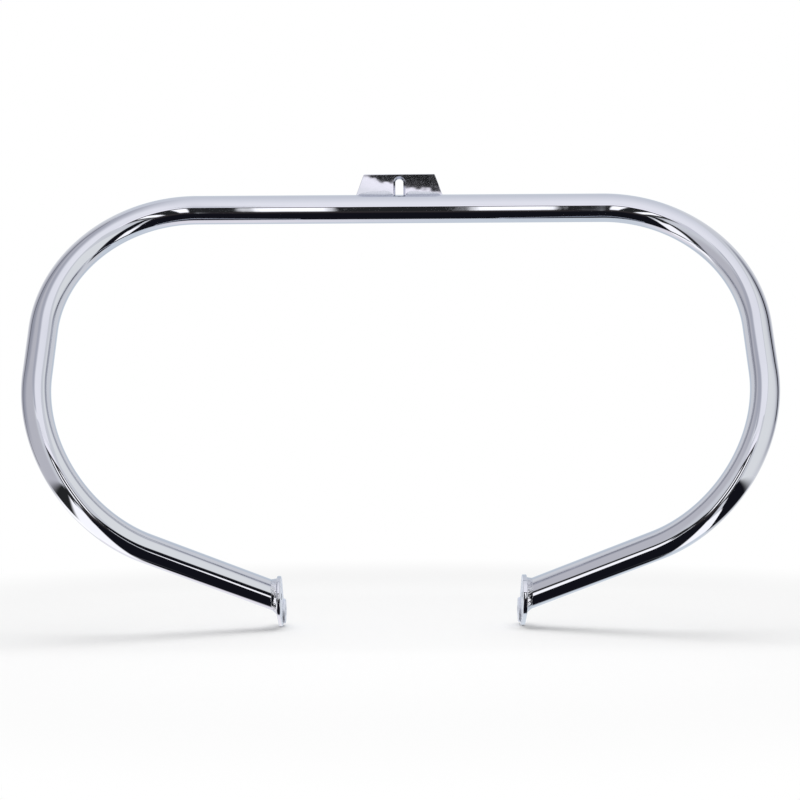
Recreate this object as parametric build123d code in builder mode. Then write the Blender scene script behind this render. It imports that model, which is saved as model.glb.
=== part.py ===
"""Motorcycle crash bars: a chrome-plated engine guard hoop, welded from one bent tube, a slotted tab
and two bolt-on feet.

Millimetres. +X is to the right for someone who faces the guard from in front of the motorcycle, +Y points
back to the engine and +Z is up. The origin is where the upper bolt goes: in the middle of the tab's slot,
on the tab's rear face.
"""
import os
from math import acos, atan2, cos, degrees, radians, sin, sqrt

from build123d import *

# Tube
TUBE_DIAMETER = 32.0
TUBE_WALL = 2.5
BEND_RADIUS = 160.0          # to the tube's axis, the same in all four bends

# Route of the tube's axis, measured from the axis at the middle of the top bar
TOP_CORNER_X = 384.0         # where the top bar's axis would meet the side's
LOW_CORNER_X = 395.0         # where the side's axis would meet the leg's
LOW_CORNER_FORWARD = 174.0
LOW_CORNER_DROP = 318.5
FOOT_X = 139.2               # outer face of each foot, where the leg ends
FOOT_FORWARD = 20.3
FOOT_DROP = 434.0

# Feet
FOOT_THICKNESS = 4.8
FOOT_LEDGE = 0.6             # rim of plate left outside the weld
FOOT_EDGE = 0.5
BOLT_BEHIND = 32.0           # bolt hole, from the point where the leg's axis ends
BOLT_BELOW = 19.5
BOLT_HOLE = 11.0
BOLT_LOBE_RADIUS = 17.0
BOSS_RADIUS = 14.0
BOSS_HEIGHT = 3.0
BOSS_EDGE = 0.5
VENT_HOLE = 8.0              # lets the plating bath in and out of the tube

# Bead round each tube end
FOOT_WELD_HEIGHT = 6.5       # along the tube's side, square to the plate
FOOT_WELD_SIDE = 4.6         # on the plate, beside the tube
FOOT_WELD_END = 2.6          # on the plate, at the two ends of the slanted footprint
FOOT_WELD_LIP = 0.3

# Tab on the top bar
TAB_THICKNESS = 6.0
TAB_LEAN = 5.0               # degrees back from upright
TAB_HEIGHT = 39.2            # from the tube's axis to the top edge, along the tab
TAB_TOP_WIDTH = 80.0
TAB_BASE_WIDTH = 97.0
TAB_CORNER_RADIUS = 1.5
TAB_EDGE = 0.7
TAB_BOLT_HEIGHT = 26.0       # from the tube's axis to the upper bolt, along the tab
SLOT_WIDTH = 9.0
SLOT_BRIDGE = 4.7            # metal above the slot
SLOT_CHAMFER = 2.2           # on the front

# Beads along the tab's base
BEAD_LEG = 5.0
BEAD_HOLLOW = 0.4            # how far the bead's face dips below a straight line
BEAD_END_GAP = 2.5           # bare stretch at each outer end of the tab
BEAD_SLOT_GAP = 0.5          # bare stretch beside the slot

tube_radius = TUBE_DIAMETER / 2

# Working planes and points
front = Vector(0, -cos(radians(TAB_LEAN)), sin(radians(TAB_LEAN)))
tab_plane = Plane((0, 0, 0), x_dir=(1, 0, 0), z_dir=front)
bar_axis = tab_plane.from_local_coords(Vector(0, -TAB_BOLT_HEIGHT, TAB_THICKNESS / 2))
top_corner = bar_axis + Vector(TOP_CORNER_X, 0, 0)
low_corner = bar_axis + Vector(LOW_CORNER_X, -LOW_CORNER_FORWARD, -LOW_CORNER_DROP)
foot = bar_axis + Vector(FOOT_X, -FOOT_FORWARD, -FOOT_DROP)
leg = (foot - low_corner).normalized()
leg_end = foot + leg * TUBE_DIAMETER
foot_plane = Plane(foot, x_dir=(0, 1, 0), z_dir=(-1, 0, 0))


def mirrored(point):
    """The same point on the other side of the middle plane."""
    return Vector(-point.X, point.Y, point.Z)


# Tube: swept along its axis, then both ends mitred flush with the feet
with BuildPart() as guard_tube:
    with BuildLine() as route:
        FilletPolyline(
            mirrored(leg_end),
            mirrored(low_corner),
            mirrored(top_corner),
            top_corner,
            low_corner,
            leg_end,
            radius=BEND_RADIUS,
        )
    with BuildSketch(Plane(route.line @ 0, z_dir=route.line % 0)):
        Circle(tube_radius)
        Circle(tube_radius - TUBE_WALL, mode=Mode.SUBTRACT)
    sweep()
    with Locations((0, foot.Y, foot.Z)):
        Box(2 * FOOT_X, 4 * TUBE_DIAMETER, 4 * TUBE_DIAMETER, mode=Mode.SUBTRACT)
guard_tube.part.label = "guard_tube"

# Slanted footprint of the tube on the foot: an ellipse, long along the leg's run across the plate
footprint_long = tube_radius / abs(leg.X)
footprint_turn = degrees(atan2(-leg.Z, leg.Y))
seat_radius = footprint_long + FOOT_WELD_END + FOOT_LEDGE

# Feet: a plate round the tube's end and the bolt, with a boss on the face that meets the frame
with BuildPart() as right_foot:
    with BuildSketch(foot_plane):
        Circle(seat_radius)
        with Locations((BOLT_BEHIND, BOLT_BELOW)):
            Circle(BOLT_LOBE_RADIUS)
        make_hull()
    extrude(amount=FOOT_THICKNESS)
    outer_face = right_foot.faces().sort_by(Axis.X)[-1]
    inner_face = right_foot.faces().sort_by(Axis.X)[0]
    chamfer(outer_face.edges() + inner_face.edges(), FOOT_EDGE)
    with BuildSketch(foot_plane.offset(FOOT_THICKNESS)):
        with Locations((BOLT_BEHIND, BOLT_BELOW)):
            Circle(BOSS_RADIUS)
    extrude(amount=BOSS_HEIGHT)
    chamfer(right_foot.faces().sort_by(Axis.X)[0].edges(), BOSS_EDGE)
    with BuildSketch(foot_plane):
        Circle(VENT_HOLE / 2)
        with Locations((BOLT_BEHIND, BOLT_BELOW)):
            Circle(BOLT_HOLE / 2)
    extrude(amount=FOOT_THICKNESS + BOSS_HEIGHT, mode=Mode.SUBTRACT)
right_foot.part.label = "right_foot"

with BuildPart() as left_foot:
    mirror(right_foot.part, about=Plane.YZ)
left_foot.part.label = "left_foot"

# Foot weld: a slanted skirt from the plate up to the tube, less the tube itself
weld_top_plane = foot_plane.offset(-FOOT_WELD_HEIGHT)
weld_top = weld_top_plane.to_local_coords(foot - leg * (FOOT_WELD_HEIGHT / abs(leg.X)))
with BuildPart() as right_foot_weld:
    with BuildSketch(foot_plane):
        Ellipse(footprint_long + FOOT_WELD_END, tube_radius + FOOT_WELD_SIDE, footprint_turn)
    with BuildSketch(weld_top_plane):
        with Locations((weld_top.X, weld_top.Y)):
            Ellipse(footprint_long + FOOT_WELD_LIP, tube_radius + FOOT_WELD_LIP, footprint_turn)
    loft()
    with BuildSketch(Plane(leg_end, z_dir=-leg)):
        Circle(tube_radius)
    extrude(amount=3 * TUBE_DIAMETER, mode=Mode.SUBTRACT)
right_foot_weld.part.label = "right_foot_weld"

with BuildPart() as left_foot_weld:
    mirror(right_foot_weld.part, about=Plane.YZ)
left_foot_weld.part.label = "left_foot_weld"

# Tab: a tapered plate with an upright slot, its base coped to the top bar
bar_level = -TAB_BOLT_HEIGHT
base_level = bar_level + tube_radius
top_level = bar_level + TAB_HEIGHT
slot_top = top_level - SLOT_BRIDGE
slot_bottom = bar_level + SLOT_WIDTH / 2
with BuildPart() as top_tab:
    with BuildSketch(tab_plane) as tab_outline:
        with BuildLine():
            Polyline(
                (-TAB_BASE_WIDTH / 2, bar_level),
                (TAB_BASE_WIDTH / 2, bar_level),
                (TAB_BASE_WIDTH / 2, base_level),
                (TAB_TOP_WIDTH / 2, top_level),
                (-TAB_TOP_WIDTH / 2, top_level),
                (-TAB_BASE_WIDTH / 2, base_level),
                close=True,
            )
        make_face()
        fillet(tab_outline.vertices().group_by(Axis.Y)[-1], TAB_CORNER_RADIUS)
    extrude(amount=TAB_THICKNESS)
    fillet(top_tab.faces().filter_by(Axis(bar_axis, front)).edges(), TAB_EDGE)
    with BuildSketch(tab_plane):
        with Locations((0, (slot_top + slot_bottom) / 2)):
            SlotOverall(slot_top - slot_bottom, SLOT_WIDTH, rotation=90)
    extrude(amount=TAB_THICKNESS, mode=Mode.SUBTRACT)
    front_face = top_tab.faces().sort_by(Axis(bar_axis, front))[-1]
    chamfer([edge for wire in front_face.inner_wires() for edge in wire.edges()], SLOT_CHAMFER)
    with BuildSketch(Plane(bar_axis - Vector(TAB_BASE_WIDTH, 0, 0), z_dir=(1, 0, 0))):
        Circle(tube_radius)
    extrude(amount=2 * TAB_BASE_WIDTH, mode=Mode.SUBTRACT)
top_tab.part.label = "top_tab"

# Tab beads: a hollow fillet between the tab's face and the tube, on each side of the slot
corner_height = sqrt(tube_radius**2 - (TAB_THICKNESS / 2) ** 2)
corner_angle = acos(TAB_THICKNESS / TUBE_DIAMETER)
toe_angle = corner_angle - BEAD_LEG / tube_radius
root_angle = (corner_angle + toe_angle) / 2
corner = Vector(TAB_THICKNESS / 2, corner_height)
crest = Vector(TAB_THICKNESS / 2, corner_height + BEAD_LEG)
toe = Vector(tube_radius * cos(toe_angle), tube_radius * sin(toe_angle))
root = Vector(tube_radius * cos(root_angle), tube_radius * sin(root_angle))
inward = Vector(toe.Y - crest.Y, crest.X - toe.X).normalized()
dip = (crest + toe) / 2 + inward * BEAD_HOLLOW
bead_start = SLOT_WIDTH / 2 + SLOT_CHAMFER + BEAD_SLOT_GAP
bead_length = TAB_BASE_WIDTH / 2 - BEAD_END_GAP - bead_start
bead_plane = Plane(bar_axis - Vector(bead_start, 0, 0), x_dir=front, z_dir=(-1, 0, 0))

with BuildPart() as tab_front_weld:
    with BuildSketch(bead_plane):
        with BuildLine():
            Line(corner, crest)
            ThreePointArc(crest, dip, toe)
            ThreePointArc(toe, root, corner)
        make_face()
    extrude(amount=bead_length)
    mirror(about=Plane.YZ)
tab_front_weld.part.label = "tab_front_weld"

tab_middle = Plane(bar_axis, x_dir=(1, 0, 0), z_dir=front)
with BuildPart() as tab_rear_weld:
    mirror(tab_front_weld.part, about=tab_middle)
tab_rear_weld.part.label = "tab_rear_weld"

os.makedirs("parts", exist_ok=True)
for piece in (
    guard_tube,
    left_foot,
    right_foot,
    left_foot_weld,
    right_foot_weld,
    top_tab,
    tab_front_weld,
    tab_rear_weld,
):
    export_step(piece.part, f"parts/{piece.part.label}.step")
    print(piece.part.label, len(piece.part.solids()), round(piece.part.volume), piece.part.bounding_box())
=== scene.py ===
# %% [markdown]
# # Chrome crash bars for a motorcycle
# The part is an engine guard: one hoop of bent steel tube that bolts to the front of a motorcycle's frame and
# keeps the engine off the road when the machine falls over. A slotted tab on the top bar takes the upper bolt
# and two plate feet take the lower ones. The pieces are welded together first and then chrome-plated as one.
#
# The CAD model is loaded first, as a fixed frame that every piece has to fit. Its box is noted here.

# %% Load the CAD frame
from math import acos, atan2, cos, pi, radians, sin, sqrt

import bmesh
import bpy
from mathutils import Matrix, Vector, noise


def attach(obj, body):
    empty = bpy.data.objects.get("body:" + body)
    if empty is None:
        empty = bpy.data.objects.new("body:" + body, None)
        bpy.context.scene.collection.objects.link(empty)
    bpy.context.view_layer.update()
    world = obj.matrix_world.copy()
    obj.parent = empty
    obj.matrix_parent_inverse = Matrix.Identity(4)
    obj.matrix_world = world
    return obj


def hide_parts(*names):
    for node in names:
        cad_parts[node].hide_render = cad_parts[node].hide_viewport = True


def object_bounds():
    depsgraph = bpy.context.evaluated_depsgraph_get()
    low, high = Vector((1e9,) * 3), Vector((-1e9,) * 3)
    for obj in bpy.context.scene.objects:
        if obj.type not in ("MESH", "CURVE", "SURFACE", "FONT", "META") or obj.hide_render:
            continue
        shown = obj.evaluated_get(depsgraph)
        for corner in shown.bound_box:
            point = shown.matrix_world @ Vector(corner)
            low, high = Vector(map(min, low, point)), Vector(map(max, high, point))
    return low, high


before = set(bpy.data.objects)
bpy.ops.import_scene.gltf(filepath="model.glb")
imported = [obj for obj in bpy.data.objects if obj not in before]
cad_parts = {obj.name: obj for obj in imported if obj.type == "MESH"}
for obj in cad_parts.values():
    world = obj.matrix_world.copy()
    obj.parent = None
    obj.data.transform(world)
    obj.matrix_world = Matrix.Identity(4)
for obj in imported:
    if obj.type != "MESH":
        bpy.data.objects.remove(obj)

cad_low, cad_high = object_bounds()
print("CAD box", [round(v, 4) for v in cad_low], [round(v, 4) for v in cad_high])
print("CAD nodes", sorted(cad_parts))

# %% [markdown]
# ## The guard's own measures
# A polished tube shows every fault of its mesh, because a reflection bends with each small facet. The CAD
# solids are good to about 0.2 mm, which is fine for fitting but too coarse for chrome. So each piece is made
# again here from the same sizes, in metres, with many more and smoother faces.
#
# The origin is the upper bolt. All points of the tube's axis are counted from the middle of the top bar.

# %% Sizes in metres and the points they give
TUBE_RADIUS = 0.016
TUBE_WALL = 0.0025
BEND_RADIUS = 0.160
TAB_LEAN = radians(5)
TAB_THICKNESS = 0.006
BOLT_ABOVE_BAR = 0.026
TOP_CORNER_X = 0.384
LOW_CORNER_X = 0.395
LOW_CORNER_FORWARD = 0.174
LOW_CORNER_DROP = 0.3185
FOOT_X = 0.1392
FOOT_FORWARD = 0.0203
FOOT_DROP = 0.434

tab_up = Vector((0, sin(TAB_LEAN), cos(TAB_LEAN)))
tab_front = Vector((0, -cos(TAB_LEAN), sin(TAB_LEAN)))
bar_axis = tab_front * TAB_THICKNESS / 2 - tab_up * BOLT_ABOVE_BAR
top_corner = bar_axis + Vector((TOP_CORNER_X, 0, 0))
low_corner = bar_axis + Vector((LOW_CORNER_X, -LOW_CORNER_FORWARD, -LOW_CORNER_DROP))
foot_point = bar_axis + Vector((FOOT_X, -FOOT_FORWARD, -FOOT_DROP))
leg_way = (foot_point - low_corner).normalized()
print("bar axis", bar_axis[:], "foot point", foot_point[:])


def on_side(point, side):
    """The point itself for side 1, and its mirror image across the middle for side -1."""
    return Vector((side * point.x, point.y, point.z))


# %% [markdown]
# ## Helpers for node trees
# Shader trees and geometry trees are built in the same way: make a node, set it up, then link its inputs or
# type values into them. One small function does that for both. Another runs a geometry tree on a piece and
# keeps the result as a plain mesh, so that nothing is left to be worked out later.

# %% Make a node
def add(tree, kind, inputs=None, **settings):
    """Adds a node. An input given a socket is linked to it, and any other value is typed in."""
    made = tree.nodes.new(kind)
    for key, value in settings.items():
        setattr(made, key, value)
    for key, value in (inputs or {}).items():
        if isinstance(value, bpy.types.NodeSocket):
            tree.links.new(value, made.inputs[key])
        else:
            made.inputs[key].default_value = value
    return made


def maths(tree, operation, *values):
    """One step of arithmetic in a tree."""
    return add(tree, "ShaderNodeMath", dict(enumerate(values)), operation=operation).outputs[0]


# %% Start, end and run a geometry tree
def new_tree(name, sizes):
    """An empty geometry tree with named inputs. Returns it with the sockets of its inputs."""
    tree = bpy.data.node_groups.new(name, "GeometryNodeTree")
    tree.interface.new_socket("Start", in_out="INPUT", socket_type="NodeSocketGeometry")
    for label, kind in sizes.items():
        tree.interface.new_socket(label, in_out="INPUT", socket_type="NodeSocket" + kind)
    tree.interface.new_socket("Finish", in_out="INPUT", socket_type="NodeSocketMaterial")
    tree.interface.new_socket("Result", in_out="OUTPUT", socket_type="NodeSocketGeometry")
    return tree, tree.nodes.new("NodeGroupInput").outputs


def close_tree(tree, geometry, finish):
    """Ends a tree: real geometry, not instances, with its finish on it."""
    real = add(tree, "GeometryNodeRealizeInstances", {"Geometry": geometry})
    coated = add(tree, "GeometryNodeSetMaterial", {"Geometry": real.outputs[0], "Material": finish})
    add(tree, "NodeGroupOutput", {"Result": coated.outputs[0]})
    print(tree.name, "tree has", len(tree.nodes), "nodes")


def run_tree(piece, tree, values):
    """Runs a tree on a piece with the values given by name, and keeps the result as its plain mesh."""
    step = piece.modifiers.new(tree.name, "NODES")
    step.node_group = tree
    for item in tree.interface.items_tree:
        if item.in_out == "INPUT" and item.name in values:
            step[item.identifier] = values[item.name]
    bpy.context.view_layer.update()
    seen = piece.evaluated_get(bpy.context.evaluated_depsgraph_get())
    made = bpy.data.meshes.new_from_object(seen)
    piece.modifiers.remove(step)
    start = piece.data
    piece.data = made
    bpy.data.meshes.remove(start)
    made.name = piece.name


# %% Place a piece and let it stand for a CAD node
MM3_IN_M3 = 1e9


def new_piece(name, mesh):
    """An object at the origin for a finished mesh."""
    piece = bpy.data.objects.new(name, mesh)
    bpy.context.scene.collection.objects.link(piece)
    return piece


def finish_piece(piece, node):
    """Lets the piece stand for a CAD node and ride with the guard."""
    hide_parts(node)
    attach(piece, "root")
    edges = bmesh.new()
    edges.from_mesh(piece.data)
    open_edges = sum(1 for edge in edges.edges if len(edge.link_faces) != 2)
    volume = edges.calc_volume(signed=True)
    edges.free()
    print(piece.name, len(piece.data.polygons), "faces,", open_edges, "open edges,",
          round(volume * MM3_IN_M3), "mm3")


# %% [markdown]
# ## Chrome
# Chrome is a very thin bright layer on nickel. It has almost no colour of its own, a little blue, and shows
# the room instead. How good it looks depends on how smooth the steel below was polished: the bent tube was
# buffed on a wheel and is the smoothest, the cut plates keep slow waves, and the welds stay rough.
#
# A picture of a room could be painted on, but then the reflections would not move. So the finish is a plain
# metal with a high shine, and three textures make it real: a faint drift of tint, a fine change of roughness
# from buffing, and a low unevenness in two sizes that bends the reflections.

# %% Chrome finishes
PALE_CHROME = (0.56, 0.58, 0.64, 1)
DEEP_CHROME = (0.535, 0.555, 0.62, 1)
TINT_DRIFT = 0.03
BUFF_MARK = 0.004
CLOUD_LOW, CLOUD_HIGH = 0.35, 0.65


def cloud(tree, place, size, detail=2.0):
    """Noise whose lumps are about the given size in metres, from 0 to 1."""
    lumps = add(tree, "ShaderNodeTexNoise", {"Vector": place, "Scale": 1 / size, "Detail": detail})
    return lumps.outputs["Fac"]


def chrome(name, shine, waves, grain):
    """Chrome with a lowest and highest roughness, and two unevennesses as (size, height) in metres."""
    finish = bpy.data.materials.new(name)
    finish.use_nodes = True
    tree = finish.node_tree
    metal = tree.nodes["Principled BSDF"]
    metal.inputs["Metallic"].default_value = 1.0
    place = add(tree, "ShaderNodeTexCoord").outputs["Object"]
    tint = add(tree, "ShaderNodeMix", {
        0: cloud(tree, place, TINT_DRIFT), 6: DEEP_CHROME, 7: PALE_CHROME}, data_type="RGBA")
    tree.links.new(tint.outputs[2], metal.inputs["Base Color"])
    buffed = add(tree, "ShaderNodeMapRange", {
        "Value": cloud(tree, place, BUFF_MARK, 4.0), "From Min": CLOUD_LOW, "From Max": CLOUD_HIGH,
        "To Min": shine[0], "To Max": shine[1]})
    tree.links.new(buffed.outputs["Result"], metal.inputs["Roughness"])
    slow = add(tree, "ShaderNodeBump", {
        "Height": cloud(tree, place, waves[0], 1.0), "Strength": 1.0, "Distance": waves[1]},
        name="slow waves")
    fine = add(tree, "ShaderNodeBump", {
        "Height": cloud(tree, place, grain[0], 2.0), "Strength": 1.0, "Distance": grain[1],
        "Normal": slow.outputs["Normal"]})
    tree.links.new(fine.outputs["Normal"], metal.inputs["Normal"])
    print("finish", name)
    return finish


tube_chrome = chrome("tube chrome", (0.02, 0.05), (0.04, 0.0002), (0.0012, 0.0000008))
plate_chrome = chrome("plate chrome", (0.04, 0.09), (0.007, 0.00015), (0.0016, 0.000004))

# %% [markdown]
# A weld bead is laid in small steps, and each step leaves a crescent. The weld finish is the same chrome
# with a darker tint in the grooves between them. The groove depth is stored on the bead's mesh when the
# ripples are made, and the finish reads it from there.

# %% Weld finish
GROOVE_DARK_TINT = (0.26, 0.25, 0.25, 1)

weld_chrome = chrome("weld chrome", (0.06, 0.16), (0.003, 0.00012), (0.0006, 0.000006))
weld_tree = weld_chrome.node_tree
weld_metal = weld_tree.nodes["Principled BSDF"]
groove = add(weld_tree, "ShaderNodeAttribute", attribute_name="groove").outputs["Fac"]
clean_tint = weld_metal.inputs["Base Color"].links[0].from_socket
# The grooves are tinted darker, more so where they are deeper.
groove_darkening = add(weld_tree, "ShaderNodeMix", {0: groove, 6: clean_tint, 7: GROOVE_DARK_TINT}, data_type="RGBA")
weld_tree.links.new(groove_darkening.outputs[2], weld_metal.inputs["Base Color"])

# %% [markdown]
# The tab looks as if it was polished by hand before it was plated. Such a plate is never quite flat: the
# wheel takes more off towards the top edge and the corners, so the reflection there slides down. A height
# that grows with the square of the distance above the bolt gives that slow roll. It is stronger on the right
# half than on the left one, and stronger waves break the reflection up.

# %% Tab finish
ROLL_AT_BOLT = 0.022
ROLL_GAIN = 5.2
ROLL_TWIST = 1.0
TWIST_FADE = -9.0

tab_chrome = chrome("tab chrome", (0.06, 0.10), (0.014, 0.0003), (0.003, 0.000006))
tab_tree = tab_chrome.node_tree
tab_place = add(tab_tree, "ShaderNodeTexCoord").outputs["Object"]
tab_spot = add(tab_tree, "ShaderNodeSeparateXYZ", {0: tab_place}).outputs
twist = maths(tab_tree, "MULTIPLY_ADD", tab_spot["X"], TWIST_FADE, ROLL_TWIST)
roll = maths(tab_tree, "MULTIPLY_ADD", tab_spot["X"], twist, ROLL_AT_BOLT)
roll = maths(tab_tree, "MULTIPLY_ADD", tab_spot["Z"], ROLL_GAIN / 2, roll)
roll = maths(tab_tree, "MULTIPLY", tab_spot["Z"], roll)
rolled = add(tab_tree, "ShaderNodeBump", {"Height": roll, "Strength": 1.0, "Distance": 1.0})
tab_tree.links.new(rolled.outputs["Normal"], tab_tree.nodes["slow waves"].inputs["Normal"])

# %% [markdown]
# ## The bent tube
# The hoop is one length of 32 mm tube with four bends of the same radius, made on a draw bender. A bevelled
# curve could make it too, but its corners would have to be placed point by point. A small geometry tree does
# what the bender does: it takes the five straight runs, rounds their corners with one radius, and draws a
# circle along the route. The bore is drawn the same way and turned inside out.

# %% Geometry tree that bends a tube
tube_tree, given = new_tree("bent tube", {
    "Bend Radius": "Float", "Bend Steps": "Int", "Ring Spacing": "Float",
    "Tube Radius": "Float", "Wall": "Float", "Sides": "Int"})
runs = add(tube_tree, "GeometryNodeMeshToCurve", {"Mesh": given["Start"]})
bent = add(tube_tree, "GeometryNodeFilletCurve", {
    "Curve": runs.outputs["Curve"], "Count": given["Bend Steps"], "Radius": given["Bend Radius"]},
    mode="POLY")
even = add(tube_tree, "GeometryNodeResampleCurve", {
    "Curve": bent.outputs["Curve"], "Length": given["Ring Spacing"]}, mode="LENGTH")


def drawn_skin(radius):
    """A circle of the given radius drawn along the bent route."""
    circle = add(tube_tree, "GeometryNodeCurvePrimitiveCircle", {
        "Resolution": given["Sides"], "Radius": radius})
    return add(tube_tree, "GeometryNodeCurveToMesh", {
        "Curve": even.outputs["Curve"], "Profile Curve": circle.outputs["Curve"]}).outputs["Mesh"]


bore_radius = maths(tube_tree, "SUBTRACT", given["Tube Radius"], given["Wall"])
bore = add(tube_tree, "GeometryNodeFlipFaces", {"Mesh": drawn_skin(bore_radius)})
skins = add(tube_tree, "GeometryNodeJoinGeometry", {"Geometry": drawn_skin(given["Tube Radius"])})
tube_tree.links.new(bore.outputs["Mesh"], skins.inputs["Geometry"])
smooth = add(tube_tree, "GeometryNodeSetShadeSmooth", {"Geometry": skins.outputs["Geometry"]})
close_tree(tube_tree, smooth.outputs["Geometry"], given["Finish"])

# %% Route of the tube
leg_end = foot_point + leg_way * 2 * TUBE_RADIUS
right_half = [top_corner, low_corner, leg_end]
route_points = [on_side(p, -1) for p in reversed(right_half)] + right_half
route = bpy.data.meshes.new("tube route")
route.from_pydata(route_points, [(i, i + 1) for i in range(len(route_points) - 1)], [])
tube = new_piece("polished_tube", route)
run_tree(tube, tube_tree, {
    "Bend Radius": BEND_RADIUS, "Bend Steps": 120, "Ring Spacing": 0.004,
    "Tube Radius": TUBE_RADIUS, "Wall": TUBE_WALL, "Sides": 72, "Finish": tube_chrome})

# %% [markdown]
# The legs meet the upright feet at a slant, so a fitter saws the tube ends to a mitre. Here a flat cut
# through the lowest part of the mesh does it. Outer skin and bore are then joined round the cut, which leaves
# a closed wall.

# %% Mitre the ends
LEG_TOP = -0.43
shape = bmesh.new()
shape.from_mesh(tube.data)
for side in (-1, 1):
    faces = [f for f in shape.faces if all(v.co.z < LEG_TOP and side * v.co.x > 0 for v in f.verts)]
    edges = {e for f in faces for e in f.edges}
    verts = {v for f in faces for v in f.verts}
    bmesh.ops.bisect_plane(
        shape, geom=[*verts, *edges, *faces], plane_co=(side * foot_point.x, 0, 0), plane_no=(side, 0, 0),
        clear_inner=True)
    rim = [e for e in shape.edges if e.is_boundary and side * e.verts[0].co.x > 0]
    wall = bmesh.ops.bridge_loops(shape, edges=rim)
    for face in wall["faces"]:
        face.smooth = False
bmesh.ops.recalc_face_normals(shape, faces=shape.faces)
shape.to_mesh(tube.data)
shape.free()
finish_piece(tube, "guard_tube")

# %% [markdown]
# ## Weld beads
# Six beads hold the guard together: one round each tube end and four along the tab. A bead fills the corner
# between two edges, its toes, with a slightly hollow face, and shows a row of crescents where the melt froze.
# A hand-laid bead is never even, so its toes wander. Each bead is first made smooth between its two toe
# lines. Its mesh notes how far along and how far across each point is. A geometry tree then raises the
# crescents and a few lumps from those notes, so a single tree serves all beads.

# %% A smooth bead between two toe lines
BEAD_ACROSS = 14
END_TAPER = 8
END_SWELL = 0.02


def wobble(x, y, z, size):
    """A smooth random number from about -1 to 1 that changes over the given size."""
    return noise.noise(Vector((x, y, z)) / size)


def smooth_bead(shape, notes, toes, roots, hollow, closed):
    """Adds one bead to a mesh. toes are pairs of points, roots the hidden corner between each pair."""
    count = len(toes)
    rows = []
    along = 0.0
    before = None
    for index, ((plate_toe, tube_toe), root) in enumerate(zip(toes, roots)):
        middle = (plate_toe + tube_toe) / 2
        along += (middle - before).length if before else 0.0
        before = middle
        swell = 1.0
        if not closed:
            swell = sqrt(min(1.0, END_SWELL + min(index, count - 1 - index) * END_TAPER / count))
        row = []
        for step in range(BEAD_ACROSS + 1):
            across = step / BEAD_ACROSS
            rise = 4 * across * (1 - across)
            point = plate_toe.lerp(tube_toe, across) + (root - middle) * hollow * rise
            vertex = shape.verts.new(root.lerp(point, swell))
            notes[vertex] = (along, rise * swell, (2 * across - 1) ** 2)
            row.append(vertex)
        vertex = shape.verts.new(root)
        notes[vertex] = (along, 0.0, 1.0)
        rows.append(row + [vertex])
    pairs = list(zip(rows, rows[1:] + rows[:1]))
    for near, far in pairs if closed else pairs[:-1]:
        for i in range(len(near)):
            j = (i + 1) % len(near)
            shape.faces.new((near[i], near[j], far[j], far[i])).smooth = True
    if not closed:
        shape.faces.new(rows[0])
        shape.faces.new(rows[-1])
    return along


# %% Geometry tree that raises crescents and lumps
LOWEST_RIDGE, HIGHEST_RIDGE = 0.4, 1.3
GROOVE_SHARPNESS = 3.0

ripple_tree, given = new_tree("weld ripples", {
    "Pitch": "Float", "Ripple Height": "Float", "Bow": "Float", "Unevenness": "Float",
    "Lump Size": "Float", "Lump Height": "Float", "Groove Darkening": "Float", "Seed": "Int"})


def note(label):
    """A number that was stored on the bead's points."""
    return add(ripple_tree, "GeometryNodeInputNamedAttribute", {"Name": label}, data_type="FLOAT").outputs[0]


def sums(operation, *values):
    """One step of arithmetic on the bead's points."""
    return maths(ripple_tree, operation, *values)


lumps = add(ripple_tree, "ShaderNodeTexNoise", {
    "Scale": sums("DIVIDE", 1.0, given["Lump Size"]), "W": given["Seed"], "Detail": 1.0},
    noise_dimensions="4D").outputs["Fac"]
steps = sums("DIVIDE", note("along"), given["Pitch"])
steps = sums("MULTIPLY_ADD", lumps, given["Unevenness"], steps)
phase = sums("MULTIPLY_ADD", note("across"), given["Bow"], steps)
ridge = sums("MULTIPLY_ADD", sums("COSINE", sums("MULTIPLY", phase, 2 * pi)), -0.5, 0.5)
share = add(ripple_tree, "FunctionNodeRandomValue", {
    2: LOWEST_RIDGE, 3: HIGHEST_RIDGE, "ID": sums("FLOOR", phase), "Seed": given["Seed"]},
    data_type="FLOAT").outputs[1]
lift = sums("MULTIPLY", ridge, sums("MULTIPLY", share, given["Ripple Height"]))
lift = sums("MULTIPLY_ADD", sums("SUBTRACT", lumps, 0.5), given["Lump Height"], lift)
lift = sums("MULTIPLY", lift, note("rise"))
push = add(ripple_tree, "ShaderNodeVectorMath", {
    0: add(ripple_tree, "GeometryNodeInputNormal").outputs["Normal"], "Scale": lift}, operation="SCALE")
# How much darker the finish is tinted at each point, most at the bottom of a groove.
depth = sums("POWER", sums("SUBTRACT", 1.0, ridge), GROOVE_SHARPNESS)
depth = sums("MULTIPLY", depth, given["Groove Darkening"])
marked = add(ripple_tree, "GeometryNodeStoreNamedAttribute", {
    "Geometry": given["Start"], "Name": "groove", "Value": depth}, data_type="FLOAT", domain="POINT")
raised = add(ripple_tree, "GeometryNodeSetPosition", {
    "Geometry": marked.outputs["Geometry"], "Offset": push.outputs["Vector"]})
close_tree(ripple_tree, raised.outputs["Geometry"], given["Finish"])


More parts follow.
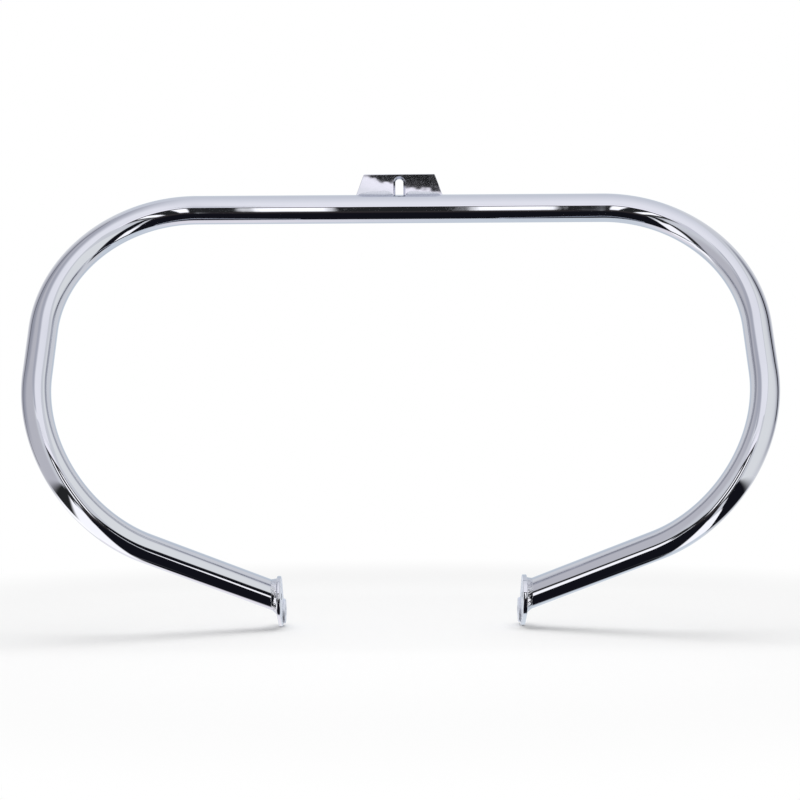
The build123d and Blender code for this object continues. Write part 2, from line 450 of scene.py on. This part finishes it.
# %% Put beads on a piece
def weld_piece(name, node, beads, closed, seed, hollow, pitch, ripple, lump, groove_dark):
    """One piece from a list of beads, each a pair of toe pairs and roots, with its crescents raised."""
    shape = bmesh.new()
    notes = {}
    length = max(smooth_bead(shape, notes, toes, roots, hollow, closed) for toes, roots in beads)
    bmesh.ops.recalc_face_normals(shape, faces=shape.faces)
    shape.verts.index_update()
    values = [notes[v] for v in shape.verts]
    mesh = bpy.data.meshes.new(name)
    shape.to_mesh(mesh)
    shape.free()
    for column, label in enumerate(("along", "rise", "across")):
        stored = mesh.attributes.new(label, "FLOAT", "POINT")
        stored.data.foreach_set("value", [v[column] for v in values])
    piece = new_piece(name, mesh)
    run_tree(piece, ripple_tree, {
        "Pitch": length / round(length / pitch), "Ripple Height": ripple, "Bow": 0.55, "Unevenness": 0.9,
        "Lump Size": 0.004, "Lump Height": lump, "Groove Darkening": groove_dark, "Seed": seed, "Finish": weld_chrome})
    finish_piece(piece, node)


# %% [markdown]
# The tube's end makes an ellipse on the foot. The bead follows it: wide beside the tube, where the welder has
# room, and narrow at the two ends, where the plate stops.

# %% Beads round the tube ends
FOOT_WELD_HEIGHT = 0.0065
FOOT_WELD_SIDE = 0.0046
FOOT_WELD_END = 0.0026
SUNK = 0.00008
TOE_SUNK = 0.0007
HEIGHT_WANDER, WIDTH_WANDER = 0.1, 0.08
HEIGHT_PATCH, TOE_PATCH = 0.006, 0.007

foot_long = TUBE_RADIUS / abs(leg_way.x)
long_way = Vector((0, leg_way.y, leg_way.z)).normalized()
short_way = Vector((1, 0, 0)).cross(long_way)
into_plate = Vector((TOE_SUNK, 0, 0))


def foot_ellipse(turn, more_long, more_short):
    """A point of the tube's footprint on the right foot, grown by a margin in each direction."""
    return (foot_point + long_way * (foot_long + more_long) * cos(turn)
            + short_way * (TUBE_RADIUS + more_short) * sin(turn))


def foot_bead(side, count=360):
    """Toe pairs and roots round one tube end, the toes sunk a little so that no gap shows."""
    toes, roots = [], []
    for index in range(count):
        turn = 2 * pi * index / count
        spot = foot_ellipse(turn, 0, 0)
        loss = HEIGHT_WANDER * (1 - wobble(side, spot.y, spot.z, HEIGHT_PATCH))
        height = FOOT_WELD_HEIGHT * (1 - loss)
        width = 1 - WIDTH_WANDER * (1 - wobble(side, spot.y, spot.z, TOE_PATCH))
        climb = leg_way * (height / abs(leg_way.x))
        plate_toe = foot_ellipse(turn, FOOT_WELD_END * width, FOOT_WELD_SIDE * width) - into_plate
        tube_toe = foot_ellipse(turn, -SUNK, -SUNK) - climb
        root = foot_ellipse(turn, -2 * SUNK, -2 * SUNK) - into_plate
        toes.append((on_side(plate_toe, side), on_side(tube_toe, side)))
        roots.append(on_side(root, side))
    return toes, roots


for side, name in ((-1, "left_foot"), (1, "right_foot")):
    weld_piece(name + "_bead", name + "_weld", [foot_bead(side)], closed=True, seed=4 + side,
               hollow=0.12, pitch=0.0028, ripple=0.00014, lump=0.0005, groove_dark=0.4)

# %% [markdown]
# The tab stands on the top bar with a bead along its front and its back. The slot runs down to the bar, so
# each bead stops short of it and starts again on the other side. The welder starts at the slot and runs out
# thin towards the tab's corner.

# %% Beads along the tab
BEAD_LEG = 0.005
BEAD_START = 0.0072
BEAD_END = 0.046
RUN_OUT = 0.5
BEAD_MEAN = 0.9
CREST_WANDER, TOE_WANDER = 0.2, 0.1
CREST_LANE, TOE_LANE = 0.3, 0.7

corner_angle = acos(TAB_THICKNESS / 2 / TUBE_RADIUS)


def bar_point(x, out, up):
    """A point beside the top bar: along it, out to the front, and up along the tab."""
    return bar_axis + Vector((x, 0, 0)) + tab_front * out + tab_up * up


def tab_bead(side, face, count=160):
    """Toe pairs and roots of one bead. face is 1 on the tab's front and -1 on its back."""
    skin = TUBE_RADIUS - SUNK
    half = TAB_THICKNESS / 2 - SUNK
    toes, roots = [], []
    for index in range(count):
        run = index / (count - 1)
        x = side * (BEAD_START + (BEAD_END - BEAD_START) * run)
        crest = BEAD_MEAN + CREST_WANDER * wobble(x, face, CREST_LANE, TOE_PATCH)
        leg = BEAD_LEG * (1 - RUN_OUT * run**2) * crest
        reach = BEAD_LEG * (BEAD_MEAN + TOE_WANDER * wobble(x, face, TOE_LANE, TOE_PATCH))
        toe_angle = corner_angle - reach / TUBE_RADIUS
        plate_toe = bar_point(x, face * half, TUBE_RADIUS * sin(corner_angle) + leg)
        tube_toe = bar_point(x, face * skin * cos(toe_angle), skin * sin(toe_angle))
        toes.append((plate_toe, tube_toe))
        roots.append(bar_point(x, face * half, skin * sin(corner_angle)))
    return toes, roots


for face, name in ((1, "tab_front"), (-1, "tab_rear")):
    weld_piece(name + "_beads", name + "_weld", [tab_bead(side, face) for side in (-1, 1)], closed=False,
               seed=9 + face, hollow=0.25, pitch=0.0032, ripple=0.00003, lump=0.0002, groove_dark=0.1)

# %% [markdown]
# ## The feet
# Each foot is cut from plate: a round seat for the tube's end and a smaller lobe for the bolt, joined by
# straight sides. A turned boss on the inner face meets the motorcycle's frame. The rim was ground by hand, so
# its edges are rounder on the left foot than on the right one.
#
# A Boolean of a few cylinders would give the shape, but with ragged faces round each hole. Instead the
# outline is drawn as a loop of points, and the foot is a stack of such loops from one face to the other. Two
# loops close together beside each edge keep the flat faces flat, so their reflections stay calm.

# %% Loops of points round a foot
FOOT_THICKNESS = 0.0048
RIM_ROUND = {-1: 0.0015, 1: 0.0006}
BOLT_BACK = 0.032
BOLT_DOWN = 0.0195
BOLT_HOLE = 0.0055
LOBE_RADIUS = 0.017
BOSS_RADIUS = 0.014
BOSS_HEIGHT = 0.003
BOSS_ROUND = 0.0013
VENT_HOLE = 0.004
KEEP_FLAT = 0.0004
FOOT_LEDGE = 0.0006

seat_radius = foot_long + FOOT_WELD_END + FOOT_LEDGE
bolt_at = Vector((BOLT_BACK, -BOLT_DOWN))
foot_inside = foot_point.x - FOOT_THICKNESS


def circle_loop(centre, radius, count=64):
    """Points round a circle on the foot, as back and up distances from the tube's end."""
    turns = [2 * pi * i / count for i in range(count)]
    return [centre + Vector((cos(t), sin(t))) * radius for t in turns]


def foot_loop(inset, count=64):
    """The foot's outline, drawn in by a margin: an arc round the seat, then one round the bolt lobe."""
    heading = atan2(bolt_at.y, bolt_at.x)
    spread = acos((seat_radius - LOBE_RADIUS) / bolt_at.length)
    points = []
    for i in range(count + 1):
        turn = heading + spread + (2 * pi - 2 * spread) * i / count
        points.append(Vector((cos(turn), sin(turn))) * (seat_radius - inset))
    for i in range(count + 1):
        turn = heading - spread + 2 * spread * i / count
        points.append(bolt_at + Vector((cos(turn), sin(turn))) * (LOBE_RADIUS - inset))
    return points


def rounded_edge(size, steps=6):
    """Pairs of inset and depth round a quarter circle, from the flat face to the side."""
    turns = [pi / 2 * i / steps for i in range(steps + 1)]
    return [(size * (1 - sin(t)), size * (1 - cos(t))) for t in turns]


# %% Join loops with faces
SHARP_ANGLE = radians(35)


def band(shape, near, far):
    """Faces between two loops that have equally many points."""
    for i in range(len(near)):
        j = (i + 1) % len(near)
        shape.faces.new((near[i], near[j], far[j], far[i]))


def stack(shape, loops):
    """Faces along a whole row of loops."""
    for near, far in zip(loops, loops[1:]):
        band(shape, near, far)


def fill_between(shape, loops):
    """A flat face inside the first loop, with the other loops as holes in it."""
    edges = [shape.edges.get((loop[i - 1], loop[i])) for loop in loops for i in range(len(loop))]
    bmesh.ops.triangle_fill(shape, edges=edges, use_beauty=True)


def plain_mesh(shape, name, finish):
    """Finishes a mesh: faces outward, soft shading on rounded edges and a crisp one on sharp ones."""
    bmesh.ops.recalc_face_normals(shape, faces=shape.faces)
    mesh = bpy.data.meshes.new(name)
    shape.to_mesh(mesh)
    shape.free()
    mesh.shade_smooth()
    mesh.set_sharp_from_angle(angle=SHARP_ANGLE)
    mesh.materials.append(finish)
    return mesh


# %% [markdown]
# Nobody sees the side that meets the frame once the guard is on, so it is left as the lathe and the grinder
# made it: the plating there is satin and paler than the polished rest. The finish tells the two sides apart
# by the distance from the guard's middle.

# %% Satin on the side that meets the frame
SATIN_SHINE = 0.6
SATIN_TINT = (0.76, 0.79, 0.86, 1)
SATIN_MARGIN = 0.0001

plate_tree = plate_chrome.node_tree
plate_metal = plate_tree.nodes["Principled BSDF"]
plate_place = add(plate_tree, "ShaderNodeTexCoord").outputs["Object"]
plate_spot = add(plate_tree, "ShaderNodeSeparateXYZ", {0: plate_place}).outputs
from_middle = maths(plate_tree, "ABSOLUTE", plate_spot["X"])
frame_side = maths(plate_tree, "LESS_THAN", from_middle, foot_inside + SATIN_MARGIN)
polish = plate_metal.inputs["Roughness"].links[0].from_socket
dulled = add(plate_tree, "ShaderNodeMix", {0: frame_side, 2: polish, 3: SATIN_SHINE}, data_type="FLOAT")
plate_tree.links.new(dulled.outputs[0], plate_metal.inputs["Roughness"])
bright = plate_metal.inputs["Base Color"].links[0].from_socket
paled = add(plate_tree, "ShaderNodeMix", {0: frame_side, 6: bright, 7: SATIN_TINT}, data_type="RGBA")
plate_tree.links.new(paled.outputs[2], plate_metal.inputs["Base Color"])


# %% Build both feet
def foot_mesh(side, name):
    """A foot from its outer face, where the tube ends, to the boss that meets the frame."""
    shape = bmesh.new()
    outer = foot_point.x
    inner = foot_inside
    boss = inner - BOSS_HEIGHT

    def laid(points, x):
        return [shape.verts.new((side * x, foot_point.y + p.x, foot_point.z + p.y)) for p in points]

    edge = rounded_edge(RIM_ROUND[side])
    rim = [laid(foot_loop(RIM_ROUND[side] + KEEP_FLAT), outer)]
    rim += [laid(foot_loop(inset), outer - depth) for inset, depth in edge]
    rim += [laid(foot_loop(inset), inner + depth) for inset, depth in reversed(edge)]
    rim += [laid(foot_loop(RIM_ROUND[side] + KEEP_FLAT), inner)]
    stack(shape, rim)
    base = BOSS_RADIUS + KEEP_FLAT
    edge = rounded_edge(BOSS_ROUND)
    hub = [laid(circle_loop(bolt_at, base), inner), laid(circle_loop(bolt_at, BOSS_RADIUS), inner)]
    hub += [laid(circle_loop(bolt_at, BOSS_RADIUS - inset), boss + depth) for inset, depth in reversed(edge)]
    hub += [laid(circle_loop(bolt_at, BOSS_RADIUS - BOSS_ROUND - KEEP_FLAT), boss)]
    hub += [laid(circle_loop(bolt_at, BOLT_HOLE + KEEP_FLAT), boss)]
    hub += [laid(circle_loop(bolt_at, BOLT_HOLE), x) for x in (boss, outer)]
    stack(shape, hub)
    vent = [laid(circle_loop(Vector((0, 0)), VENT_HOLE), x) for x in (inner, outer)]
    stack(shape, vent)
    fill_between(shape, [rim[0], hub[-1], vent[-1]])
    fill_between(shape, [rim[-1], hub[0], vent[0]])
    return plain_mesh(shape, name, plate_chrome)


for side, name in ((-1, "left_foot"), (1, "right_foot")):
    finish_piece(new_piece(name + "_plate", foot_mesh(side, name)), name)

# %% [markdown]
# ## The slotted tab
# The tab is a tapered plate, sawn so that its base fits the round of the bar. The slot lets the upper bolt
# find its place, and its mouth is countersunk on the front. The same idea as for the feet makes it: one
# outline that runs round the tab and down through the slot, repeated from the back face to the front.

# %% Outline of the tab at one depth
TAB_HEIGHT = 0.0392
TAB_TOP_HALF = 0.040
TAB_BASE_HALF = 0.0485
TAB_CORNER = 0.0015
TAB_EDGE = 0.0004
SLOT_HALF = 0.0045
SLOT_BRIDGE = 0.0047
SLOT_CHAMFER = 0.0022
ROUND_STEPS, CORNER_STEPS = 16, 12
SLOT_STEPS, BASE_STEPS, SIDE_STEPS, TOP_STEPS = 8, 20, 8, 16

slope = Vector((TAB_TOP_HALF - TAB_BASE_HALF, TAB_HEIGHT - TUBE_RADIUS)).normalized()
side_out = Vector((slope.y, -slope.x))
corner_x = TAB_TOP_HALF - (TAB_CORNER - TAB_CORNER * side_out.y) / side_out.x
slot_centre = TAB_HEIGHT - SLOT_BRIDGE - SLOT_HALF


def stretch(start, end, steps):
    """Evenly spaced points from start to end, without start itself."""
    return [start.lerp(end, i / steps) for i in range(1, steps + 1)]


def tab_loop(depth, inset, grow):
    """Right half of the outline, from the slot's top down and round to the middle of the top edge."""
    base = sqrt(TUBE_RADIUS**2 - depth**2) - SUNK
    slot_side = SLOT_HALF + grow
    half = []
    for i in range(ROUND_STEPS + 1):
        turn = pi / 2 * (1 - i / ROUND_STEPS)
        half.append(Vector((cos(turn), sin(turn))) * slot_side + Vector((0, slot_centre)))
    half += stretch(half[-1], Vector((slot_side, base)), SLOT_STEPS)
    edge_x = TAB_BASE_HALF - inset / side_out.x + (base - TUBE_RADIUS) * slope.x / slope.y
    half += stretch(half[-1], Vector((edge_x, base)), BASE_STEPS)
    arc_centre = Vector((corner_x, TAB_HEIGHT - TAB_CORNER))
    arc_start = arc_centre + side_out * (TAB_CORNER - inset)
    half += stretch(half[-1], arc_start, SIDE_STEPS)[:-1]
    low_turn = atan2(side_out.y, side_out.x)
    for i in range(CORNER_STEPS + 1):
        turn = low_turn + (pi / 2 - low_turn) * i / CORNER_STEPS
        half.append(arc_centre + Vector((cos(turn), sin(turn))) * (TAB_CORNER - inset))
    half += stretch(half[-1], Vector((0, half[-1].y)), TOP_STEPS)
    return half


# %% Build the tab
def tab_mesh(name):
    """The tab as a stack of outlines. The two halves share the points on the middle line."""
    levels = [(-TAB_THICKNESS / 2, TAB_EDGE + KEEP_FLAT, 0.0)]
    edge = rounded_edge(TAB_EDGE)
    levels += [(depth - TAB_THICKNESS / 2, inset, 0.0) for inset, depth in edge]
    levels += [(TAB_THICKNESS / 2 - SLOT_CHAMFER, 0.0, 0.0)]
    for inset, depth in reversed(edge):
        level = TAB_THICKNESS / 2 - depth
        levels.append((level, inset, level - TAB_THICKNESS / 2 + SLOT_CHAMFER))
    levels += [(TAB_THICKNESS / 2, TAB_EDGE + KEEP_FLAT, SLOT_CHAMFER + KEEP_FLAT)]
    shape = bmesh.new()
    halves = {1: [], -1: []}
    for depth, inset, grow in levels:
        points = tab_loop(depth, inset, grow)
        right = [shape.verts.new(bar_point(p.x, depth, p.y)) for p in points]
        left = [shape.verts.new(bar_point(-p.x, depth, p.y)) for p in points[1:-1]]
        halves[1].append(right)
        halves[-1].append([right[0]] + left + [right[-1]])
    for rows in halves.values():
        for near, far in zip(rows, rows[1:]):
            for i in range(len(near) - 1):
                shape.faces.new((near[i], near[i + 1], far[i + 1], far[i]))
        shape.faces.new(rows[0])
        shape.faces.new(rows[-1])
    return plain_mesh(shape, name, tab_chrome)


finish_piece(new_piece("slotted_tab", tab_mesh("slotted_tab")), "top_tab")

# %% [markdown]
# ## What the chrome sees
# A chrome part looks like its surroundings, so a studio decides how it looks. Photographers hang dark cloth
# and bright boards round shiny things, because dark bands beside bright ones are what makes metal read as
# metal. The studio here is a box with flat boards on its six walls and one low table. Most boards fade out
# softly at their edges. Only reflections can see them: they throw no light, cast no shadow and stay out of
# the picture. Behind them is a plain white room.
#
# Every corner of a board notes how far inside each of the four edges it lies, counted in that edge's own
# softness. Between the corners those numbers run evenly, so four corners are enough for a smooth fade.

# %% Finish of the boards
card_look = bpy.data.materials.new("studio board")
card_look.use_nodes = True
card_look.cycles.emission_sampling = "NONE"
card_tree = card_look.node_tree
card_tree.nodes.remove(card_tree.nodes["Principled BSDF"])
board_tint = add(card_tree, "ShaderNodeAttribute", attribute_name="tint").outputs["Color"]
board_edges = add(card_tree, "ShaderNodeAttribute", attribute_name="edges").outputs
board_sides = add(card_tree, "ShaderNodeSeparateColor", {"Color": board_edges["Color"]}).outputs
board_cover = 1.0
for inside in (board_sides["Red"], board_sides["Green"], board_sides["Blue"], board_edges["Alpha"]):
    eased = add(card_tree, "ShaderNodeMapRange", {"Value": inside}, interpolation_type="SMOOTHSTEP")
    board_cover = maths(card_tree, "MULTIPLY", board_cover, eased.outputs["Result"])
board_glow = add(card_tree, "ShaderNodeEmission", {"Color": board_tint, "Strength": 1.0})
board_mix = add(card_tree, "ShaderNodeMixShader", {
    0: board_cover, 1: add(card_tree, "ShaderNodeBsdfTransparent").outputs[0], 2: board_glow.outputs[0]})
card_tree.links.new(board_mix.outputs[0], card_tree.nodes["Material Output"].inputs["Surface"])

# %% [markdown]
# The plan of the studio comes wall by wall. A board is noted with its wall, its corners in metres, how softly
# each edge fades, and its tint. A fitting program that compared computed reflections with the photograph
# first showed where the dark and bright areas lie. The plan here was then laid out as plain rectangles in
# round numbers. Where two overlap, the later one hangs in front.

# %% Plan of the studio
BLACK = (0.03, 0.03, 0.03)
RUNNER = (0.01, 0.01, 0.015)
LAMP = (1.9, 1.85, 1.8)
CARD = (1.7, 1.65, 1.6)
PALE = (1.2, 1.2, 1.15)
DULL = (0.65, 0.65, 0.70)
SHADE = (0.50, 0.50, 0.55)
FRONT, BACK = -2.2, 1.5
SIDE = 0.8
GROUND, TABLE, CEILING = -1.08, -0.62, 1.2

# For each wall: the axis that it stands across, its place on that axis, and which way is inward
WALLS = {
    "front": (1, FRONT, 1), "back": (1, BACK, -1), "left": (0, -SIDE, 1), "right": (0, SIDE, -1),
    "ground": (2, GROUND, 1), "table": (2, TABLE, 0), "ceiling": (2, CEILING, -1)}
boards = []


def sheet(a0, a1, b0, b1):
    """Corners of a rectangle, from a0 to a1 one way and from b0 to b1 the other."""
    return [(a0, b0), (a1, b0), (a1, b1), (a0, b1)]


def hang(wall, corners, soft, tint):
    """Adds a board to the plan. soft is the fade of its b0, a1, b1 and a0 edge."""
    boards.append((wall, corners, soft, tint))


# %% [markdown]
# The camera stands in a dark curtain. It makes the black band along the top bar, and two tall lamps in front
# of it make the two bright dashes. Above the curtain the wall is bright, and duller towards the left.

# %% Front wall
DIM_WALL = (1.00, 0.98, 1.02)
BRIGHT_WALL = (1.30, 1.27, 1.28)
BRIGHTEST_WALL = (1.55, 1.48, 1.52)
LAMP_MIDDLE = 0.25
LAMP_HALF = 0.12

hang("front", sheet(-SIDE, -0.30, 0.30, CEILING), (0, 0.2, 0, 0), DIM_WALL)
hang("front", sheet(-0.45, 0.60, 0.30, CEILING), (0, 0.15, 0, 0.25), BRIGHT_WALL)
hang("front", sheet(-0.45, 0.60, 0.30, 0.95), (0, 0.15, 0.4, 0.25), BRIGHTEST_WALL)
hang("front", sheet(-0.65, 0.60, GROUND, 0.55), (0, 0.2, 0.1, 0.2), BLACK)
for middle in (-LAMP_MIDDLE, LAMP_MIDDLE):
    hang("front", sheet(middle - LAMP_HALF, middle + LAMP_HALF, GROUND, 0.35), (0.5, 0.05, 0.1, 0.05), LAMP)
hang("front", sheet(-SIDE, -0.45, GROUND, -0.50), (0, 0.1, 0.1, 0), BLACK)
hang("front", sheet(0.45, SIDE, GROUND, -0.50), (0, 0, 0.1, 0.1), BLACK)
print(len(boards), "boards after the front wall")

# %% [markdown]
# Grey cloth hangs on the left and darker grey above it. Below it are a white card with a black band across
# it and a black corner, which draw the pointed shapes in the lower bends. Further back a thin post stands in
# a soft shadow and makes the fine line along the tube.

# %% Left wall
CLOTH = (0.80, 0.78, 0.80)
POST = (0.20, 0.20, 0.22)

hang("left", sheet(-1.60, 0.45, -0.60, CEILING), (0, 0.3, 0, 0.8), CLOTH)
hang("left", sheet(-1.30, -0.20, 0.45, CEILING), (0.35, 0.25, 0, 0.4), DULL)
hang("left", sheet(-1.40, 0.70, GROUND, -0.55), (0, 0.4, 0.1, 0.1), CARD)
hang("left", sheet(-1.60, 0.10, -0.85, -0.50), (0.1, 0.1, 0.1, 0.1), BLACK)
hang("left", sheet(FRONT, -1.30, GROUND, -0.50), (0, 0.2, 0.2, 0), BLACK)
hang("left", sheet(-0.25, 0.20, -0.40, CEILING), (0.2, 0.2, 0, 0.2), SHADE)
hang("left", sheet(0.00, 0.06, -0.45, CEILING), (0.02, 0.015, 0, 0.015), POST)
print(len(boards), "boards after the left wall")

# %% [markdown]
# The right side is paler than the left one, with a black band below and a post of its own in a soft shadow.

# %% Right wall
hang("right", sheet(-1.50, 0.10, -0.65, 0.70), (0, 0.5, 0.1, 0.1), PALE)
hang("right", sheet(FRONT, 0.25, GROUND, -0.50), (0, 0.2, 0.1, 0), RUNNER)
hang("right", sheet(-0.20, 0.25, -0.50, 0.60), (0.2, 0.2, 0.2, 0.2), SHADE)
hang("right", sheet(-0.05, 0.05, -0.30, 0.45), (0.03, 0.03, 0.3, 0.03), BLACK)
print(len(boards), "boards after the right wall")

# %% [markdown]
# On the ground a dark runner leads from the curtain to the guard, with white card on both sides of it. The
# white card shows as the bright line in the legs. A narrow strip of the runner lies higher, on the table that
# carries the guard, so that the legs see it from close by. A little light from the room falls on the runner's
# far end, and behind the guard the ground is pale.

# %% Ground
PALE_GROUND = (0.95, 1.01, 1.05)
WARM_GROUND = (1.25, 1.18, 1.20)
FAR_RUNNER = (0.06, 0.05, 0.05)

hang("ground", sheet(-SIDE, SIDE, 0.00, BACK), (0, 0, 0, 0), PALE_GROUND)
hang("ground", sheet(-SIDE, 0.20, 0.00, 1.05), (0, 0.5, 0.3, 0), WARM_GROUND)
hang("ground", sheet(-SIDE, -0.35, -1.40, 0.40), (0.1, 0.05, 0.15, 0), CARD)
hang("ground", sheet(0.35, SIDE, -0.90, 0.10), (0.1, 0, 0.15, 0.05), CARD)
hang("ground", sheet(-0.50, 0.50, FRONT, -0.80), (0, 0.1, 0.1, 0.1), RUNNER)
hang("ground", sheet(-0.45, 0.45, -1.10, 0.15), (0.1, 0.05, 0.2, 0.05), RUNNER)
hang("table", sheet(-0.35, 0.35, -0.10, 0.05), (0.05, 0.05, 0.05, 0.05), RUNNER)
hang("ground", sheet(-0.50, 0.50, FRONT, -1.10), (0, 0.2, 0.9, 0.2), FAR_RUNNER)
print(len(boards), "boards after the ground")

# %% [markdown]
# The ceiling is bright towards the front, so the top of the tube fades slowly from light to grey. Its left
# edge is duller. The back wall is pale blue and shows in the outermost edges of the tube.

# %% Ceiling and back wall
PLAIN_CEILING = (0.92, 0.94, 0.98)
LIT_CEILING = (1.34, 1.31, 1.32)
BACK_BLUE = (0.80, 0.86, 0.92)

hang("ceiling", sheet(-SIDE, SIDE, FRONT, BACK), (0, 0, 0, 0), PLAIN_CEILING)
hang("ceiling", sheet(-SIDE, SIDE, FRONT, 0.90), (0, 0, 2.3, 0), LIT_CEILING)
hang("ceiling", sheet(-SIDE, -0.30, -2.00, 0.30), (0.3, 0.4, 0.2, 0), DULL)
hang("back", sheet(-SIDE, SIDE, GROUND, CEILING), (0, 0, 0, 0), BACK_BLUE)
print(len(boards), "boards in all")

# %% Make the boards
LAYER = 0.004


def on_wall(wall, spot, inset):
    """A point on a wall of the studio, or a little in front of it."""
    axis, level, inward = WALLS[wall]
    place = list(spot)
    place.insert(axis, level + inward * inset)
    return place


def inside_edges(spot, corners, soft):
    """How far inside each edge of a board a point lies, counted in that edge's softness."""
    shares = []
    for start, end, width in zip(corners, corners[1:] + corners[:1], soft):
        run = (end - start).normalized()
        inside = run.x * (spot.y - start.y) - run.y * (spot.x - start.x)
        shares.append(inside / width if width else 1.0)
    return shares


points, tints, shares = [], [], []
for layer, (wall, outline, soft, tint) in enumerate(boards):
    corners = [Vector(corner) for corner in outline]
    for corner in corners:
        points.append(on_wall(wall, corner, layer * LAYER))
        shares += inside_edges(corner, corners, soft)
        tints += [*tint, 1.0]
board_mesh = bpy.data.meshes.new("studio boards")
board_mesh.from_pydata(points, [], [range(k, k + 4) for k in range(0, len(points), 4)])
board_mesh.attributes.new("edges", "FLOAT_COLOR", "POINT").data.foreach_set("color", shares)
board_mesh.attributes.new("tint", "FLOAT_COLOR", "POINT").data.foreach_set("color", tints)
board_mesh.materials.append(card_look)
studio = new_piece("studio_boards", board_mesh)
studio.visible_camera = False
studio.visible_diffuse = False
studio.visible_transmission = False
studio.visible_shadow = False
studio.visible_volume_scatter = False
print("studio of", len(board_mesh.polygons), "boards")

# %% [markdown]
# ## White room, floor and lamp
# The room is white where the camera and the metal see it, and lights the floor at a plain level. One large
# soft lamp overhead gives the floor a shadow. The floor's own pale colour shows near the guard, and further
# out it turns into the white of the room, so no line shows where it ends.

# %% Room
ROOM_LIGHT = 0.65

scene = bpy.context.scene
scene.view_settings.view_transform = "Standard"
room = bpy.data.worlds.new("white room")
room.use_nodes = True
scene.world = room
room_tree = room.node_tree
rays = add(room_tree, "ShaderNodeLightPath").outputs
shown = maths(room_tree, "MAXIMUM", rays["Is Camera Ray"], rays["Is Glossy Ray"])
shown = maths(room_tree, "MAXIMUM", shown, rays["Is Transmission Ray"])
level = add(room_tree, "ShaderNodeMapRange", {"Value": shown, "To Min": ROOM_LIGHT, "To Max": 1.0})
background = room_tree.nodes["Background"]
background.inputs["Color"].default_value = (1, 1, 1, 1)
room_tree.links.new(level.outputs["Result"], background.inputs["Strength"])

# %% Lamp
OVERHEAD_SIZE = 1.6
OVERHEAD_WATTS = 16
OVERHEAD_PLACE = (0, -0.2, 1.3)

lamp_data = bpy.data.lights.new("overhead lamp", "AREA")
lamp_data.shape = "SQUARE"
lamp_data.size = OVERHEAD_SIZE
lamp_data.energy = OVERHEAD_WATTS
lamp = bpy.data.objects.new("overhead_lamp", lamp_data)
lamp.location = OVERHEAD_PLACE
lamp.visible_glossy = False
lamp.visible_camera = False
scene.collection.objects.link(lamp)

# %% Floor
FLOOR_HALF = 3.0
FLOOR_TINT = (0.96, 0.96, 0.96, 1)
FADE_START, FADE_END = 0.55, 0.95

floor_corners = sheet(-FLOOR_HALF, FLOOR_HALF, -FLOOR_HALF, FLOOR_HALF)
floor_mesh = bpy.data.meshes.new("floor")
floor_mesh.from_pydata([(x, y, cad_low.z) for x, y in floor_corners], [], [(0, 1, 2, 3)])
floor_look = bpy.data.materials.new("pale floor")
floor_look.use_nodes = True
floor_tree = floor_look.node_tree
floor_tree.nodes.remove(floor_tree.nodes["Principled BSDF"])
floor_place = add(floor_tree, "ShaderNodeTexCoord").outputs["Object"]
flat_place = add(floor_tree, "ShaderNodeVectorMath", {0: floor_place, 1: (1, 1, 0)}, operation="MULTIPLY")
reach = add(floor_tree, "ShaderNodeVectorMath", {0: flat_place.outputs["Vector"]}, operation="LENGTH")
fade = add(floor_tree, "ShaderNodeMapRange", {
    "Value": reach.outputs["Value"], "From Min": FADE_START, "From Max": FADE_END},
    interpolation_type="SMOOTHSTEP")
camera_ray = add(floor_tree, "ShaderNodeLightPath").outputs["Is Camera Ray"]
fade = maths(floor_tree, "MULTIPLY", fade.outputs["Result"], camera_ray)
pale = add(floor_tree, "ShaderNodeBsdfDiffuse", {"Color": FLOOR_TINT})
white = add(floor_tree, "ShaderNodeEmission", {"Color": (1, 1, 1, 1), "Strength": 1.0})
floor_mix = add(floor_tree, "ShaderNodeMixShader", {0: fade, 1: pale.outputs[0], 2: white.outputs[0]})
floor_tree.links.new(floor_mix.outputs[0], floor_tree.nodes["Material Output"].inputs["Surface"])
floor_mesh.materials.append(floor_look)
floor = new_piece("floor", floor_mesh)
floor.visible_glossy = False
print("floor at", round(cad_low.z, 4))

# %% [markdown]
# ## Camera
# The guard is seen straight from the front, from a little over two metres away, at about half its height. A
# long lens keeps its two sides nearly parallel. The place, the angles and the lens come from lining up the
# tube's axis with the photograph.

# %% Camera
EYE = Vector((0.00073, -2.20525, -0.23989))
YAW = radians(-0.0373)
PITCH = radians(-0.0256)
ROLL = radians(-0.3492)
SENSOR_MM = 36
LENS_MM = 87.85

ahead = Vector((sin(YAW) * cos(PITCH), cos(YAW) * cos(PITCH), sin(PITCH)))
level_right = Vector((cos(YAW), -sin(YAW), 0))
level_up = level_right.cross(ahead)
right = level_right * cos(ROLL) + level_up * sin(ROLL)
up = level_up * cos(ROLL) - level_right * sin(ROLL)
camera_data = bpy.data.cameras.new("front camera")
camera_data.sensor_width = SENSOR_MM
camera_data.lens = LENS_MM
camera = bpy.data.objects.new("front_camera", camera_data)
camera.matrix_world = Matrix.Translation(EYE) @ Matrix((right, up, -ahead)).transposed().to_4x4()
scene.collection.objects.link(camera)
scene.camera = camera
